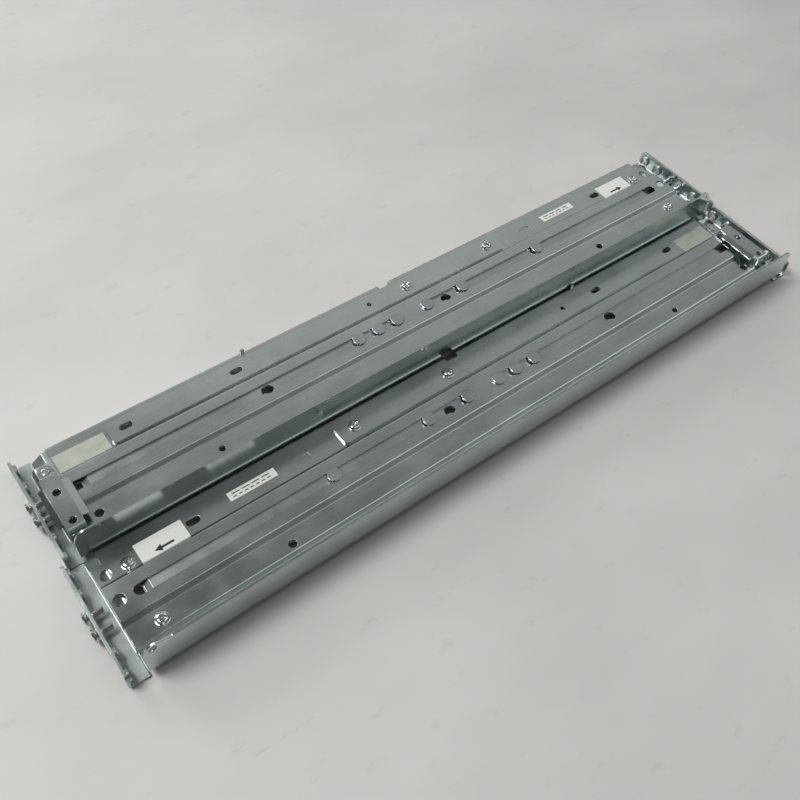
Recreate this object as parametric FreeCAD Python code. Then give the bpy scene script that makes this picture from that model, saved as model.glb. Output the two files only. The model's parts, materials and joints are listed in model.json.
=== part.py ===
import FreeCAD, Part
import math
import os

from FreeCAD import Vector

# A pair of 2U sliding server rails, lying side by side on their outer sides, front to rear.
#
# One rail is drawn in its own frame and placed twice, the second time mirrored end for end.
#   u runs along the rail from its front (-) to its rear (+), from the gap between its arms
#   v runs across it from the chassis ledge (-) to the top edge (+)
#   z stands up from the surface that the rail lies on, towards the chassis side
# All lengths are in millimetres.

# Rack standard
HOLE_PITCH = 12.7            # locating studs, centre to centre
HOLE_UNIT = 44.45            # one rack unit
OUTER_HOLE = 15.875          # a mounting hole's distance from the next one in its unit

# Whole rail
RAIL_WIDTH = 88.0            # two rack units less a running gap
PAIR_GAP = 0.5               # between the two rails as they lie
SIDES = 12                   # flats on small holes, heads and slot ends, to keep them light
BEND_FLATS = 3               # flats round each bend of a sheet
CLOSED_LENGTH = 620.5        # rack face to rack face with the rail pushed together
MIDDLE_SHIFT = -1.75         # middle of that length from the gap between the two arms
SLIDING_GAP = 0.05           # between sheets that slide on each other
RUNNING_GAP = 0.1            # round a rivet in its slot

# Centre web
WEB_SHEET = 1.5
WEB_BEND = 1.4               # bend radius at the middle of the sheet
WEB_TOP = 9.5                # upper face of the two flat bands
BAND_RISE = 2.5              # raised middle band above the flat bands
WEB_SETBACK = 13.5           # web's front end behind the front rack face
LEDGE_SETBACK = 10.0         # ledge's rear end ahead of the rear rack face
LEDGE_OVERHANG = 14.5        # ledge's rear end behind the web's rear edge
LIP_FOOT = 3.0               # lower edge of the turned-down top edge
BAND_HIGH_V = 18.5           # middle band's slope, on the label side
BAND_HIGH_RUN = 2.0
BAND_LOW_V = -12.5           # middle band's slope, on the ledge side
BAND_LOW_RUN = 3.5
STEP_V = -27.5               # shallow step down beside the ledge
STEP_RUN = 2.5
STEP_DROP = 1.5
LEDGE_TOP = 35.5
LEDGE_CORNER = 9.0
CORNER_CUT = (7.5, 11.0)     # front corner of the label band, along and across
EDGE_NOTCH = (-6.5, 11.0, 5.5)   # start, length and depth of the notch in the top edge
EDGE_TAB = (128.5, 3.0, 2.6)     # start, length and height of the stop tab on the top edge
CORNER_RADIUS = 2.0

# Ledge ear and the stiffening dimples along the ledge's bend
EAR_LENGTH = 19.0
EAR_HEIGHT = 11.5
EAR_LEAN = 16.0              # degrees
EAR_SLOT = (6.0, 3.6)
EAR_SLOT_PLACE = (-3.0, 2.2) # from the middle of the fold, along and up
DIMPLE_MARGIN = 38.5         # first one from the ledge's front end
DIMPLE_PITCH = 34.3
DIMPLE_LENGTHS = (4.0, 8.0)  # short and long ones in turn
DIMPLE_LEG = 2.2             # of the triangle pressed in across the bend

# Slots in the middle band
SLOT_V = 3.5
SLOT_WIDTH = 8.0
FRONT_SLOT_MARGIN = 29.0     # front rack face to the front slot
FRONT_SLOT_END = -11.4
REAR_SLOT_START = 10.0
REAR_SLOT_MARGIN = 4.0       # slot's rear end to the web's rear edge

# Holes in the web: station, place across, then radius, or length and width of a slot
RAMP_HOLES = ((20.3, 24.5, 4.0), (19.5, 3.7, 4.3))          # from the front rack face
LABEL_SLOT = (82.5, 27.6, 10.0, 5.5)
PRESSED_SLOT = (168.0, 28.0, 11.0, 5.0)                     # pressed in, not pierced
PRESS_DEPTH = 0.7
MIDDLE_HOLES = ((-185.8, -22.8, 3.0), (185.5, -22.8, 2.5))  # from the gap between the arms
REAR_HOLE = (8.5, -21.8, 3.3)                               # from the web's rear edge

# Brackets and their arms
ARM_SHEET = 2.0
ARM_BEND = 2.0
FLANGE_HEIGHT = 15.5
FLANGE_CORNER = 4.5           # on the label side
FLANGE_LOW_CORNER = 3.0       # on the ledge side
STRIP_LENGTH = 11.5          # flat strip behind the rack face
FRONT_RAMP = 8.5
REAR_RAMP = 8.0
DROP_RUN = 1.0
DROP_BACK = 2.5              # foot of the drop behind the foot of the ramp
DROP_EDGE_V = 33.0           # where the rear bracket's ramp gives way to its upright drop
ARM_LOW_V = -26.5
ARM_HIGH_V = 42.0
NECK_LOW_V = -20.0
NECK_HIGH_V = 24.0
NECK_START = 46.0            # from the rack face to where the arm narrows
NECK_TAPER = 8.0
SLOPE_GAP = 0.35             # between the slopes of the arm and of the web
HAT_START_FRONT = 36.0       # from the front rack face to the arm's raised middle
HAT_START_REAR = 34.5
HAT_RAMP = 4.0
ARM_END_GAP = 6.0            # from each arm's inner end to the rail's middle
ARM_WINDOW = (9.5, 8.5)      # opening ahead of the raised middle, along and across
ARM_HOLES = ((-34.0, 1.8, 3.6), (133.3, 1.6, 4.1))          # station, place across, radius
ARM_CLEARANCE = 1.0           # how much wider a hole is in the arm than in the web above it

# Rack holes and studs in the two rack faces
RACK_HOLE_RADIUS = 3.5
STUD_SHANK_RADIUS = 2.1
STUD_LENGTH = 7.5
STUD_HEAD_RADIUS = 4.6       # fits the rack's 9.5 mm square holes
STUD_HEAD = 3.5
STUD_FIT = 0.05

# Slot rivets
FRONT_RIVET_STEPS = (0.0, 36.7, 119.4)
REAR_RIVET_STEPS = (0.0, 17.8, 36.6)
RIVET_END_GAP = 0.2          # first rivet to the inner end of its slot
RIVET_HEAD_RADIUS = 5.5
RIVET_HEAD = 1.4

# Screws
SCREW_RADIUS = 2.0
SCREW_FIT = 0.2
SCREW_HEAD_RADIUS = 4.75
SCREW_HEAD = 2.4
SCREW_LENGTH = 3.4
CROSS_WIDTH = 1.1
CROSS_LENGTH = 5.0
CROSS_DEPTH = 1.4
FRONT_SCREWS = ((35.2, 24.2), (35.0, -20.4))   # from the front rack face

# Retaining bar on the label band
BAR_GAP = 2.0                # between the bar and the tape
BAR_SETBACK = 198.0          # bar's front end behind the front rack face
BAR_LOW_V = 20.0
BAR_WIDTH = 18.0
BAR_SHEET = 2.0
BAR_CORNER = 3.0
BAR_SCREWS = (14.0, 99.7)    # from the bar's front end
BAR_SLOTS = (13.0, 100.5)    # from the bar's rear end
BAR_SLOT = (10.0, 5.0)
BAR_HOLE_RADIUS = 2.0
BAR_HOLES = {"left": 219.8, "right": 136.8}    # from the bar's front end

# Glide tape and labels
FILM = 0.2
TAPE_LENGTH = 37.0
TAPE_WIDTH = 15.0
TAPE_MARGIN = 1.0
TAPE_OFFSET = 0.7            # from the foot of the middle band's slope
ARROW_LABEL = (42.5, 19.0, 33.5, 14.4)         # from the front rack face, then size
SMALL_LABEL = (110.0, 26.0, 36.5, 7.0)

# Rear latch
LATCH_SHEET = 1.5
LATCH_BEND = 1.3
LATCH_TOP = 17.4
LATCH_PIVOT_BACK = 18.5      # pivot ahead of the rear rack face
LATCH_PIVOT_V = 26.0
LATCH_LEFT = 4.4             # plate's edges either side of the pivot
LATCH_RIGHT = 7.9
LATCH_END_V = -27.3
END_WALL_FOOT = 10.3
LUG_RIGHT = 6.0              # lug's edge on the rack side
LUG_END_V = 31.5
JOGGLE_V = 17.5              # where the plate steps down to the lug
WING_LEFT = 4.9
WING_LEFT_DROP = 1.2
WING_RIGHT = 3.4
WING_RIGHT_DROP = 2.6
WING_V = (-22.0, 10.0)
LATCH_HOLES = ((1.7, 1.9, 2.8), (1.9, -22.0, 2.7))
PIN_RADIUS = 2.2
PIN_FIT = 0.05
PIN_HEAD_RADIUS = 3.0
PIN_HEAD = 0.9
PIN_FOOT_RADIUS = 3.6
PIN_FOOT = 1.0
SPRING_POST = (0.5, 7.0)     # spring post from the pivot, then its place across
SPRING_WIRE = 0.9
SPRING_RADIUS = 3.6
SPRING_HEIGHT = 6.6
SPRING_LEG = 7.0

# Worked out from the sizes above
HALF_WIDTH = RAIL_WIDTH / 2
FRONT_FACE = MIDDLE_SHIFT - CLOSED_LENGTH / 2
REAR_FACE = MIDDLE_SHIFT + CLOSED_LENGTH / 2
WEB_FRONT = FRONT_FACE + WEB_SETBACK
LEDGE_REAR = REAR_FACE - LEDGE_SETBACK
WEB_REAR = LEDGE_REAR - LEDGE_OVERHANG
WEB_MIDDLE = WEB_TOP - WEB_SHEET / 2
BAND_TOP = WEB_TOP + BAND_RISE
FLOOR_MIDDLE = WEB_MIDDLE - STEP_DROP
EDGE_MIDDLE = HALF_WIDTH - WEB_SHEET / 2
WEB_UNDERSIDE = WEB_TOP - WEB_SHEET
ARM_TOP = WEB_UNDERSIDE - SLIDING_GAP
ARM_MIDDLE = ARM_TOP - ARM_SHEET / 2
HAT_TOP = ARM_TOP + BAND_RISE
FRONT_SLOT = (FRONT_FACE + FRONT_SLOT_MARGIN, FRONT_SLOT_END)
REAR_SLOT = (REAR_SLOT_START, WEB_REAR - REAR_SLOT_MARGIN)
RIVET_RADIUS = SLOT_WIDTH / 2 - RUNNING_GAP
FRONT_RIVETS = tuple(FRONT_SLOT_END - SLOT_WIDTH / 2 - RIVET_END_GAP - step for step in FRONT_RIVET_STEPS)
REAR_RIVETS = tuple(REAR_SLOT_START + SLOT_WIDTH / 2 + RIVET_END_GAP + step for step in REAR_RIVET_STEPS)
SCREW_PLACES = tuple((FRONT_FACE + station, v) for station, v in FRONT_SCREWS)
HOLE_HEIGHT = FLANGE_HEIGHT / 2
STUD_ROWS = (-HOLE_PITCH / 2, HOLE_PITCH / 2)
HOLE_ROWS = tuple(side * (HOLE_UNIT / 2 + extra) for side in (-1, 1) for extra in (0, OUTER_HOLE))
LATCH_PIVOT_U = REAR_FACE - LATCH_PIVOT_BACK
LUG_LEVEL = (ARM_TOP + SLIDING_GAP, ARM_TOP + SLIDING_GAP + LATCH_SHEET)
TAPE_FRONT = WEB_REAR - TAPE_MARGIN - TAPE_LENGTH
BAR_FRONT = FRONT_FACE + BAR_SETBACK
BAR_REAR = TAPE_FRONT - BAR_GAP
BAR_MIDDLE_V = BAR_LOW_V + BAR_WIDTH / 2
BAR_SCREW_PLACES = tuple((BAR_FRONT + u, BAR_MIDDLE_V) for u in BAR_SCREWS)
FAR = 100.0                  # cutters run this far past what they cut


def block(u, v, z):
    """Box between three pairs of limits."""
    corner = Vector(u[0], v[0], z[0])
    return Part.makeBox(u[1] - u[0], v[1] - v[0], z[1] - z[0], corner)


def post(radius, u, v, z):
    """Upright cylinder between two heights."""
    return Part.makeCylinder(radius, z[1] - z[0], Vector(u, v, z[0]))


def lying_post(radius, u, v, z):
    """Cylinder along the rail between two stations."""
    return Part.makeCylinder(radius, u[1] - u[0], Vector(u[0], v, z), Vector(1, 0, 0))


def polygon(radius, u, v, z, length=0.0):
    """Many-sided outline at one height, drawn out along the rail by length where it is a slot."""
    corners = []
    for index in range(SIDES):
        angle = 2 * math.pi * (index + 0.5) / SIDES
        shift = math.copysign(length / 2, math.cos(angle))
        corners.append(Vector(u + shift + radius * math.cos(angle), v + radius * math.sin(angle), z))
    return Part.makePolygon(corners + corners[:1])


def peg(radius, u, v, z, length=0.0):
    """Upright many-sided peg, or the cutter of a small hole or slot."""
    return Part.Face(polygon(radius, u, v, z[0], length)).extrude(Vector(0, 0, z[1] - z[0]))


def lying_peg(radius, u, v, z):
    """Many-sided peg along the rail between two stations."""
    rod = peg(radius, 0, 0, (0, u[1] - u[0]))
    rod.rotate(Vector(0, 0, 0), Vector(0, 1, 0), 90)
    rod.translate(Vector(u[0], v, z))
    return rod


def domed_head(radius, height, u, v, seat):
    """Low many-sided head that narrows towards its top."""
    outlines = [polygon(radius, u, v, seat), polygon(radius, u, v, seat + height / 2)]
    skirt = Part.makeLoft(outlines, True, True)
    outlines = [outlines[1], polygon(radius - height / 2, u, v, seat + height)]
    return skirt.fuse(Part.makeLoft(outlines, True, True))


def slot_prism(u, v, width, z):
    """Upright prism with round ends between two stations along the rail."""
    radius = width / 2
    body = block((u[0] + radius, u[1] - radius), (v - radius, v + radius), z)
    ends = [post(radius, u[0] + radius, v, z), post(radius, u[1] - radius, v, z)]
    return body.multiFuse(ends).removeSplitter()


def rounded_plate(u, v, z, radius):
    """Flat plate with its four upright edges rounded by short flats."""
    centres = [(u[1] - radius, v[1] - radius), (u[0] + radius, v[1] - radius)]
    centres += [(u[0] + radius, v[0] + radius), (u[1] - radius, v[0] + radius)]
    corners = []
    for quarter, (centre_u, centre_v) in enumerate(centres):
        for index in range(BEND_FLATS + 1):
            angle = (quarter + index / BEND_FLATS) * math.pi / 2
            point = Vector(centre_u + radius * math.cos(angle), centre_v + radius * math.sin(angle), z[0])
            corners.append(point)
    outline = Part.makePolygon(corners + corners[:1])
    return Part.Face(outline).extrude(Vector(0, 0, z[1] - z[0]))


def across(a, b):
    """Point of a section across the rail."""
    return Vector(0, a, b)


def along(a, b):
    """Point of a section along the rail."""
    return Vector(a, 0, b)


def sheet_side(path, offset, bend):
    """Points of one face of a bent sheet whose middle line follows path."""
    direction = (path[1] - path[0]).normalize()
    points = [path[0] + Vector(-direction.y, direction.x, 0) * offset]
    for before, corner, after in zip(path, path[1:], path[2:]):
        arriving = (corner - before).normalize()
        leaving = (after - corner).normalize()
        turn = math.atan2(arriving.cross(leaving).z, arriving.dot(leaving))
        hand = math.copysign(1, turn)
        normal = Vector(-arriving.y, arriving.x, 0) * hand
        centre = corner - arriving * bend * math.tan(abs(turn) / 2) + normal * bend
        radius = bend - hand * offset
        for index in range(BEND_FLATS + 1):
            angle = abs(turn) * index / BEND_FLATS
            points.append(centre + arriving * radius * math.sin(angle) - normal * radius * math.cos(angle))
    direction = (path[-1] - path[-2]).normalize()
    points.append(path[-1] + Vector(-direction.y, direction.x, 0) * offset)
    return points


def bent_sheet(middle, thickness, bend, place, sweep):
    """Sheet of one thickness bent at each inner point of its middle line, then swept."""
    path = [Vector(a, b, 0) for a, b in middle]
    left = sheet_side(path, thickness / 2, bend)
    right = sheet_side(path, -thickness / 2, bend)
    outline = [place(point.x, point.y) for point in left + right[::-1]]
    return Part.Face(Part.makePolygon(outline + outline[:1])).extrude(sweep)


def cross_sheet(points, u, thickness=WEB_SHEET, bend=WEB_BEND):
    """Sheet with a section across the rail, between two stations."""
    sheet = bent_sheet(points, thickness, bend, across, Vector(u[1] - u[0], 0, 0))
    sheet.translate(Vector(u[0], 0, 0))
    return sheet


def long_sheet(points, v, thickness=ARM_SHEET, bend=ARM_BEND):
    """Sheet with a section along the rail, between two lines across it."""
    sheet = bent_sheet(points, thickness, bend, along, Vector(0, v[1] - v[0], 0))
    sheet.translate(Vector(0, v[0], 0))
    return sheet


def web_section():
    """Middle line of the web: lip, label band, raised band, lower strip, floor and ledge."""
    band = WEB_MIDDLE + BAND_RISE
    return [
        (EDGE_MIDDLE, LIP_FOOT),
        (EDGE_MIDDLE, WEB_MIDDLE),
        (BAND_HIGH_V, WEB_MIDDLE),
        (BAND_HIGH_V - BAND_HIGH_RUN, band),
        (BAND_LOW_V + BAND_LOW_RUN, band),
        (BAND_LOW_V, WEB_MIDDLE),
        (STEP_V, WEB_MIDDLE),
        (STEP_V - STEP_RUN, FLOOR_MIDDLE),
        (-EDGE_MIDDLE, FLOOR_MIDDLE),
        (-EDGE_MIDDLE, LEDGE_TOP),
    ]


def ledge_corners():
    """What is cut from the ledge to round its two upper corners."""
    cutters = []
    for end, inward in ((WEB_FRONT, 1), (LEDGE_REAR, -1)):
        centre = end + inward * LEDGE_CORNER
        height = LEDGE_TOP - LEDGE_CORNER
        reach = sorted((end - inward, centre))
        square = block(reach, (-HALF_WIDTH - 1, -HALF_WIDTH + WEB_SHEET + 1), (height, LEDGE_TOP + 1))
        start = Vector(centre, -HALF_WIDTH - 2, height)
        round_part = Part.makeCylinder(LEDGE_CORNER, WEB_SHEET + 4, start, Vector(0, 1, 0))
        cutters.append(square.cut(round_part))
    return cutters


def ledge_ear(web):
    """The web with the ledge's front upper corner folded in and slotted."""
    low = Vector(WEB_FRONT, -HALF_WIDTH, LEDGE_TOP - EAR_HEIGHT)
    high = Vector(WEB_FRONT + EAR_LENGTH, -HALF_WIDTH, LEDGE_TOP)
    past = Vector(WEB_FRONT - FAR, -HALF_WIDTH, LEDGE_TOP + FAR)
    fold = high - low
    corner = Part.makePolygon([low - fold, high + fold, past, low - fold])
    corner_prism = Part.Face(corner).extrude(Vector(0, WEB_SHEET, 0))
    ear = web.common(corner_prism)
    rest = web.cut(corner_prism)
    slot_length, slot_width = EAR_SLOT
    slot_back, slot_up = EAR_SLOT_PLACE
    middle = (low + high) * 0.5 + Vector(slot_back, 0, slot_up)
    slot = peg(slot_width / 2, 0, 0, (-FAR, FAR), slot_length - slot_width)
    slot.rotate(Vector(0, 0, 0), Vector(1, 0, 0), 90)
    slot.rotate(Vector(0, 0, 0), Vector(0, 1, 0), -math.degrees(math.atan2(fold.z, fold.x)))
    slot.translate(middle)
    ear = ear.cut(slot)
    ear.rotate(low, fold, -EAR_LEAN)
    return rest.fuse(ear)


def bend_wedge(u, length, corner, leg):
    """Three-sided prism along the ledge's bend, with its right angle at a corner."""
    v, z = corner
    points = [across(v, z), across(v + leg, z), across(v, z + leg), across(v, z)]
    wedge = Part.Face(Part.makePolygon(points)).extrude(Vector(length, 0, 0))
    wedge.translate(Vector(u - length / 2, 0, 0))
    return wedge


def dimples():
    """Gussets inside the ledge's bend and the hollows behind them."""
    half = WEB_SHEET / 2
    outer = (-HALF_WIDTH - WEB_SHEET, FLOOR_MIDDLE - half - WEB_SHEET)
    inner = (-HALF_WIDTH + WEB_SHEET, FLOOR_MIDDLE + half)
    hollow_leg = DIMPLE_LEG + 4 * WEB_SHEET - WEB_SHEET * math.sqrt(2)
    gussets = []
    hollows = []
    start = WEB_FRONT + DIMPLE_MARGIN
    count = int((LEDGE_REAR - start) / DIMPLE_PITCH)
    for index in range(count):
        u = start + index * DIMPLE_PITCH
        length = DIMPLE_LENGTHS[index % 2]
        gussets.append(bend_wedge(u, length + WEB_SHEET, inner, DIMPLE_LEG))
        hollows.append(bend_wedge(u, length, outer, hollow_leg))
    return gussets, hollows


def edge_tab():
    """Stop tab that stands up from the web's top edge."""
    start, length, height = EDGE_TAB
    edge = (HALF_WIDTH - WEB_SHEET, HALF_WIDTH)
    return block((start, start + length), edge, (WEB_UNDERSIDE, WEB_TOP + height))


def web(hand):
    """Centre web with the chassis ledge, its slots, holes and pressed details."""
    sheet = cross_sheet(web_section(), (WEB_FRONT, LEDGE_REAR))
    gussets, hollows = dimples()
    sheet = sheet.multiFuse(gussets).cut(Part.makeCompound(hollows))
    past = (WEB_TOP - FAR, WEB_TOP + FAR)
    cuts = ledge_corners()
    floor_edge = STEP_V - STEP_RUN
    cuts.append(block((WEB_REAR, LEDGE_REAR + 1), (floor_edge, HALF_WIDTH + 1), past))
    corner_u, corner_v = CORNER_CUT
    cuts.append(block((WEB_FRONT - 1, WEB_FRONT + corner_u), (HALF_WIDTH - corner_v, HALF_WIDTH + 1), past))
    notch_start, notch_length, notch_depth = EDGE_NOTCH
    notch_v = (HALF_WIDTH - notch_depth, HALF_WIDTH + CORNER_RADIUS)
    cuts.append(rounded_plate((notch_start, notch_start + notch_length), notch_v, past, CORNER_RADIUS))
    tab_start, tab_length, tab_height = EDGE_TAB
    tab_gap = (tab_start - 1, tab_start + tab_length + 1)
    lip_v = (HALF_WIDTH - WEB_SHEET - 1, HALF_WIDTH + 1)
    cuts.append(block(tab_gap, lip_v, (LIP_FOOT - 1, WEB_UNDERSIDE)))
    for slot in (FRONT_SLOT, REAR_SLOT):
        cuts.append(slot_prism(slot, SLOT_V, SLOT_WIDTH, past))
    square_end = (REAR_SLOT[1] - SLOT_WIDTH / 2, REAR_SLOT[1])
    cuts.append(block(square_end, (SLOT_V - SLOT_WIDTH / 2, SLOT_V + SLOT_WIDTH / 2), past))
    for u, v, radius in ARM_HOLES:
        cuts.append(peg(radius, u, v, past))
    cuts += bar_openings(hand, past)
    rear_station, rear_v, rear_radius = REAR_HOLE
    cuts.append(peg(rear_radius, WEB_REAR - rear_station, rear_v, past))
    for station, v, radius in RAMP_HOLES:
        cuts.append(peg(radius, FRONT_FACE + station, v, past))
    for u, v, radius in MIDDLE_HOLES:
        cuts.append(peg(radius, u, v, past))
    pressed = (WEB_TOP - PRESS_DEPTH, WEB_TOP + 1)
    for (station, v, length, width), depth in ((LABEL_SLOT, past), (PRESSED_SLOT, pressed)):
        cuts.append(peg(width / 2, FRONT_FACE + station, v, depth, length - width))
    for u, v in SCREW_PLACES + BAR_SCREW_PLACES:
        cuts.append(peg(SCREW_RADIUS + SCREW_FIT, u, v, past))
    sheet = sheet.fuse(edge_tab()).cut(Part.makeCompound(cuts))
    return ledge_ear(sheet).removeSplitter()


def slope_shift(run):
    """How far a slope's underside lies inside its upper side in a sheet of even thickness."""
    return ARM_SHEET * math.tan(math.atan2(BAND_RISE, run) / 2)


def slope_setback(run):
    """How far the arm's slope lies inside the web's, so that the two keep SLOPE_GAP."""
    angle = math.atan2(BAND_RISE, run)
    level = WEB_SHEET / 2 + SLIDING_GAP
    return (level + SLOPE_GAP - (level + SLIDING_GAP) * math.cos(angle)) / math.sin(angle)


def arm_section(u, rise):
    """Outline of an arm across the rail, with its middle raised above its flat sides."""
    high = BAND_HIGH_V - slope_setback(BAND_HIGH_RUN)
    low = BAND_LOW_V + slope_setback(BAND_LOW_RUN)
    high_shift = slope_shift(BAND_HIGH_RUN)
    low_shift = slope_shift(BAND_LOW_RUN)
    under = ARM_TOP - ARM_SHEET
    points = [
        (ARM_LOW_V, ARM_TOP),
        (low, ARM_TOP),
        (low + BAND_LOW_RUN, ARM_TOP + rise),
        (high - BAND_HIGH_RUN, ARM_TOP + rise),
        (high, ARM_TOP),
        (ARM_HIGH_V, ARM_TOP),
        (ARM_HIGH_V, under),
        (high - high_shift, under),
        (high - high_shift - BAND_HIGH_RUN, under + rise),
        (low + low_shift + BAND_LOW_RUN, under + rise),
        (low + low_shift, under),
        (ARM_LOW_V, under),
    ]
    return Part.makePolygon([Vector(u, v, z) for v, z in points + points[:1]])


def arm_plan(face, inward, end):
    """Outline of an arm seen from above: wide at the bracket, then a narrower neck."""
    neck = face + inward * NECK_START
    narrow = neck + inward * NECK_TAPER
    points = [
        (face, -HALF_WIDTH - 1),
        (face, HALF_WIDTH + 1),
        (neck - inward * NECK_TAPER, HALF_WIDTH + 1),
        (neck, ARM_HIGH_V),
        (narrow, NECK_HIGH_V),
        (end, NECK_HIGH_V),
        (end, NECK_LOW_V),
        (narrow, NECK_LOW_V),
        (neck, ARM_LOW_V),
        (neck - inward * NECK_TAPER, -HALF_WIDTH - 1),
    ]
    outline = Part.makePolygon([Vector(u, v, -1) for u, v in points + points[:1]])
    return Part.Face(outline).extrude(Vector(0, 0, LEDGE_TOP))


def rack_flange(face, inward):
    """Rack face with its holes, and the strip behind it."""
    plate = face + inward * ARM_SHEET / 2
    strip = face + inward * (ARM_SHEET + STRIP_LENGTH)
    points = [(plate, FLANGE_HEIGHT), (plate, ARM_SHEET / 2), (strip, ARM_SHEET / 2)]
    flange = long_sheet(points, (-HALF_WIDTH, HALF_WIDTH))
    through = sorted((face - inward, face + inward * (ARM_SHEET + 1)))
    cuts = []
    for v in HOLE_ROWS:
        cuts.append(lying_post(RACK_HOLE_RADIUS, through, v, HOLE_HEIGHT))
    for v in STUD_ROWS:
        cuts.append(lying_peg(STUD_SHANK_RADIUS + STUD_FIT, through, v, HOLE_HEIGHT))
    for side, radius in ((-1, FLANGE_LOW_CORNER), (1, FLANGE_CORNER)):
        centre_v = side * (HALF_WIDTH - radius)
        centre_z = FLANGE_HEIGHT - radius
        square = block(through, sorted((centre_v, side * (HALF_WIDTH + 1))), (centre_z, FLANGE_HEIGHT + 1))
        cuts.append(square.cut(lying_peg(radius, through, centre_v, centre_z)))
    return flange.cut(Part.makeCompound(cuts))


def bracket_ramp(face, inward, run, hat, v, back=0.0):
    """Strip of the bracket that climbs from the strip behind the rack face to the arm."""
    strip = face + inward * (ARM_SHEET + STRIP_LENGTH - back)
    points = [
        (strip - inward * STRIP_LENGTH / 2, ARM_SHEET / 2),
        (strip, ARM_SHEET / 2),
        (strip + inward * run, ARM_MIDDLE),
        (face + inward * hat, ARM_MIDDLE),
    ]
    return long_sheet(points, v)


def arm(face, inward, hat, end):
    """Long arm with a raised middle, from the bracket to the arm's inner end."""
    start = face + inward * hat
    crest = start + inward * HAT_RAMP
    ramp = Part.makeLoft([arm_section(start, 0), arm_section(crest, BAND_RISE)], True, True)
    length = Part.Face(arm_section(crest, BAND_RISE)).extrude(Vector(end - crest, 0, 0))
    return ramp.fuse(length)


def window(face, inward, hat):
    """Opening in the flat part of the arm ahead of its raised middle."""
    length, width = ARM_WINDOW
    near = face + inward * (hat - 1)
    u = sorted((near, near - inward * length))
    return block(u, (SLOT_V - width / 2, SLOT_V + width / 2), (0, LEDGE_TOP))


def front_arm():
    """Front bracket and its arm, screwed and riveted to the web."""
    end = -ARM_END_GAP
    ramp = bracket_ramp(FRONT_FACE, 1, FRONT_RAMP, HAT_START_FRONT, (ARM_LOW_V, ARM_HIGH_V))
    body = rack_flange(FRONT_FACE, 1).multiFuse([ramp, arm(FRONT_FACE, 1, HAT_START_FRONT, end)])
    body = body.common(arm_plan(FRONT_FACE, 1, end))
    cuts = [window(FRONT_FACE, 1, HAT_START_FRONT)]
    hole_u, hole_v, radius = ARM_HOLES[0]
    cuts.append(peg(radius + ARM_CLEARANCE, hole_u, hole_v, (0, LEDGE_TOP)))
    for u, v in SCREW_PLACES:
        cuts.append(peg(SCREW_RADIUS + SCREW_FIT, u, v, (0, LEDGE_TOP)))
    return body.cut(Part.makeCompound(cuts)).removeSplitter()


def rear_arm():
    """Rear bracket and its arm, which slides along the web."""
    end = ARM_END_GAP
    ramp = bracket_ramp(REAR_FACE, -1, REAR_RAMP, HAT_START_REAR, (DROP_EDGE_V, ARM_HIGH_V))
    drop_v = (ARM_LOW_V, DROP_EDGE_V)
    drop = bracket_ramp(REAR_FACE, -1, DROP_RUN, HAT_START_REAR, drop_v, DROP_BACK)
    body = rack_flange(REAR_FACE, -1).multiFuse([ramp, drop, arm(REAR_FACE, -1, HAT_START_REAR, end)])
    body = body.common(arm_plan(REAR_FACE, -1, end))
    cuts = [window(REAR_FACE, -1, HAT_START_REAR)]
    hole_u, hole_v, radius = ARM_HOLES[1]
    cuts.append(peg(radius + ARM_CLEARANCE, hole_u, hole_v, (0, LEDGE_TOP)))
    rear_station, rear_v, rear_radius = REAR_HOLE
    cuts.append(peg(rear_radius + ARM_CLEARANCE, WEB_REAR - rear_station, rear_v, (0, LEDGE_TOP)))
    post_back, post_v = SPRING_POST
    for u, v in ((LATCH_PIVOT_U, LATCH_PIVOT_V), (LATCH_PIVOT_U + post_back, post_v)):
        cuts.append(peg(PIN_RADIUS + PIN_FIT, u, v, (ARM_SHEET, LEDGE_TOP)))
    return body.cut(Part.makeCompound(cuts)).removeSplitter()


def studs(face, inward):
    """Locating studs through a rack face, with their heads outside it."""
    pieces = []
    tail = sorted((face, face + inward * (ARM_SHEET + STUD_LENGTH)))
    outside = sorted((face - inward * STUD_HEAD, face))
    for v in STUD_ROWS:
        head = lying_post(STUD_HEAD_RADIUS, outside, v, HOLE_HEIGHT)
        pieces.append(head.fuse(lying_peg(STUD_SHANK_RADIUS, tail, v, HOLE_HEIGHT)))
    return Part.makeCompound(pieces)


def rivets(stations, seat, shoulder):
    """Slot rivets: a head over the web and a shoulder in the slot, set down on the arm."""
    pieces = []
    for u in stations:
        head = domed_head(RIVET_HEAD_RADIUS, RIVET_HEAD, u, SLOT_V, seat)
        pieces.append(head.fuse(shoulder(RIVET_RADIUS, u, SLOT_V, (HAT_TOP, seat))))
    return Part.makeCompound(pieces)


def pan_screw(u, v, seat):
    """Pan-head screw with a cross recess."""
    head = domed_head(SCREW_HEAD_RADIUS, SCREW_HEAD, u, v, seat)
    shank = peg(SCREW_RADIUS, u, v, (seat - SCREW_LENGTH, seat))
    depth = (seat + SCREW_HEAD - CROSS_DEPTH, seat + SCREW_HEAD + 1)
    half_length = CROSS_LENGTH / 2
    half_width = CROSS_WIDTH / 2
    slit = block((u - half_length, u + half_length), (v - half_width, v + half_width), depth)
    cross_slit = block((u - half_width, u + half_width), (v - half_length, v + half_length), depth)
    return head.fuse(shank).cut(slit.fuse(cross_slit))


def front_screws():
    """Screws that lock the front arm to the web."""
    return Part.makeCompound([pan_screw(u, v, WEB_TOP) for u, v in SCREW_PLACES])


def bar_screws():
    """Screws that hold the retaining bar."""
    return Part.makeCompound([pan_screw(u, v, WEB_TOP + BAR_SHEET) for u, v in BAR_SCREW_PLACES])


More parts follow.
